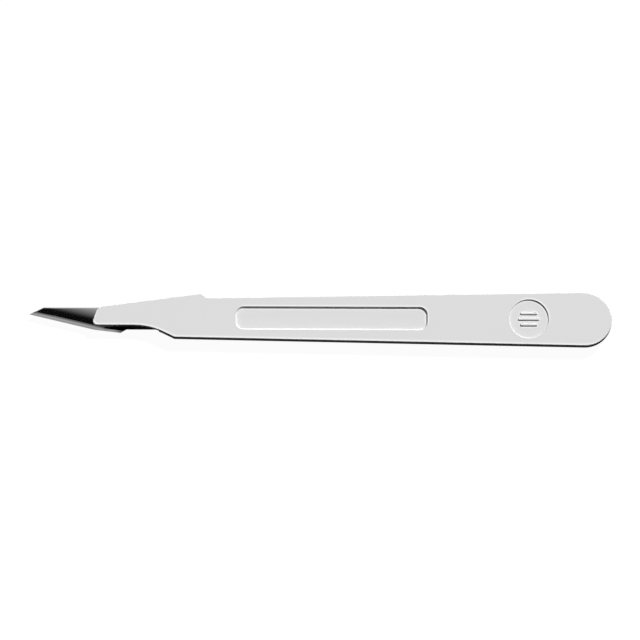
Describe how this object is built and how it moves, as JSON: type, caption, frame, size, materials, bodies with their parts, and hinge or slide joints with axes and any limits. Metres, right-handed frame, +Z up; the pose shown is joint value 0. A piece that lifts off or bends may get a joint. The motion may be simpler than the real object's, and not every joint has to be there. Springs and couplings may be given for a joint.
{
  "type": "disposable scalpel",
  "caption": "Surgical knife with a pointed, straight-edged steel blade heat-staked into the back of a flat, tapered plastic handle with a round tail.",
  "frame": {"origin": "under the middle of the whole length, on the plane that the handle's back lies on and on the handle's centre line", "axes": "+X from the blade's point to the handle's tail, +Y across, away from the cutting edge, +Z up, out of the moulded front face"},
  "size_m": [0.16, 0.0148, 0.0034],
  "materials": {
    "handle_plastic": "satin moulded polystyrene, light grey",
    "blade_steel": "polished flats, ground bevels"
  },
  "bodies": {
    "root": {"handle": "handle_plastic", "blade": "blade_steel"}
  },
  "joints": []
}
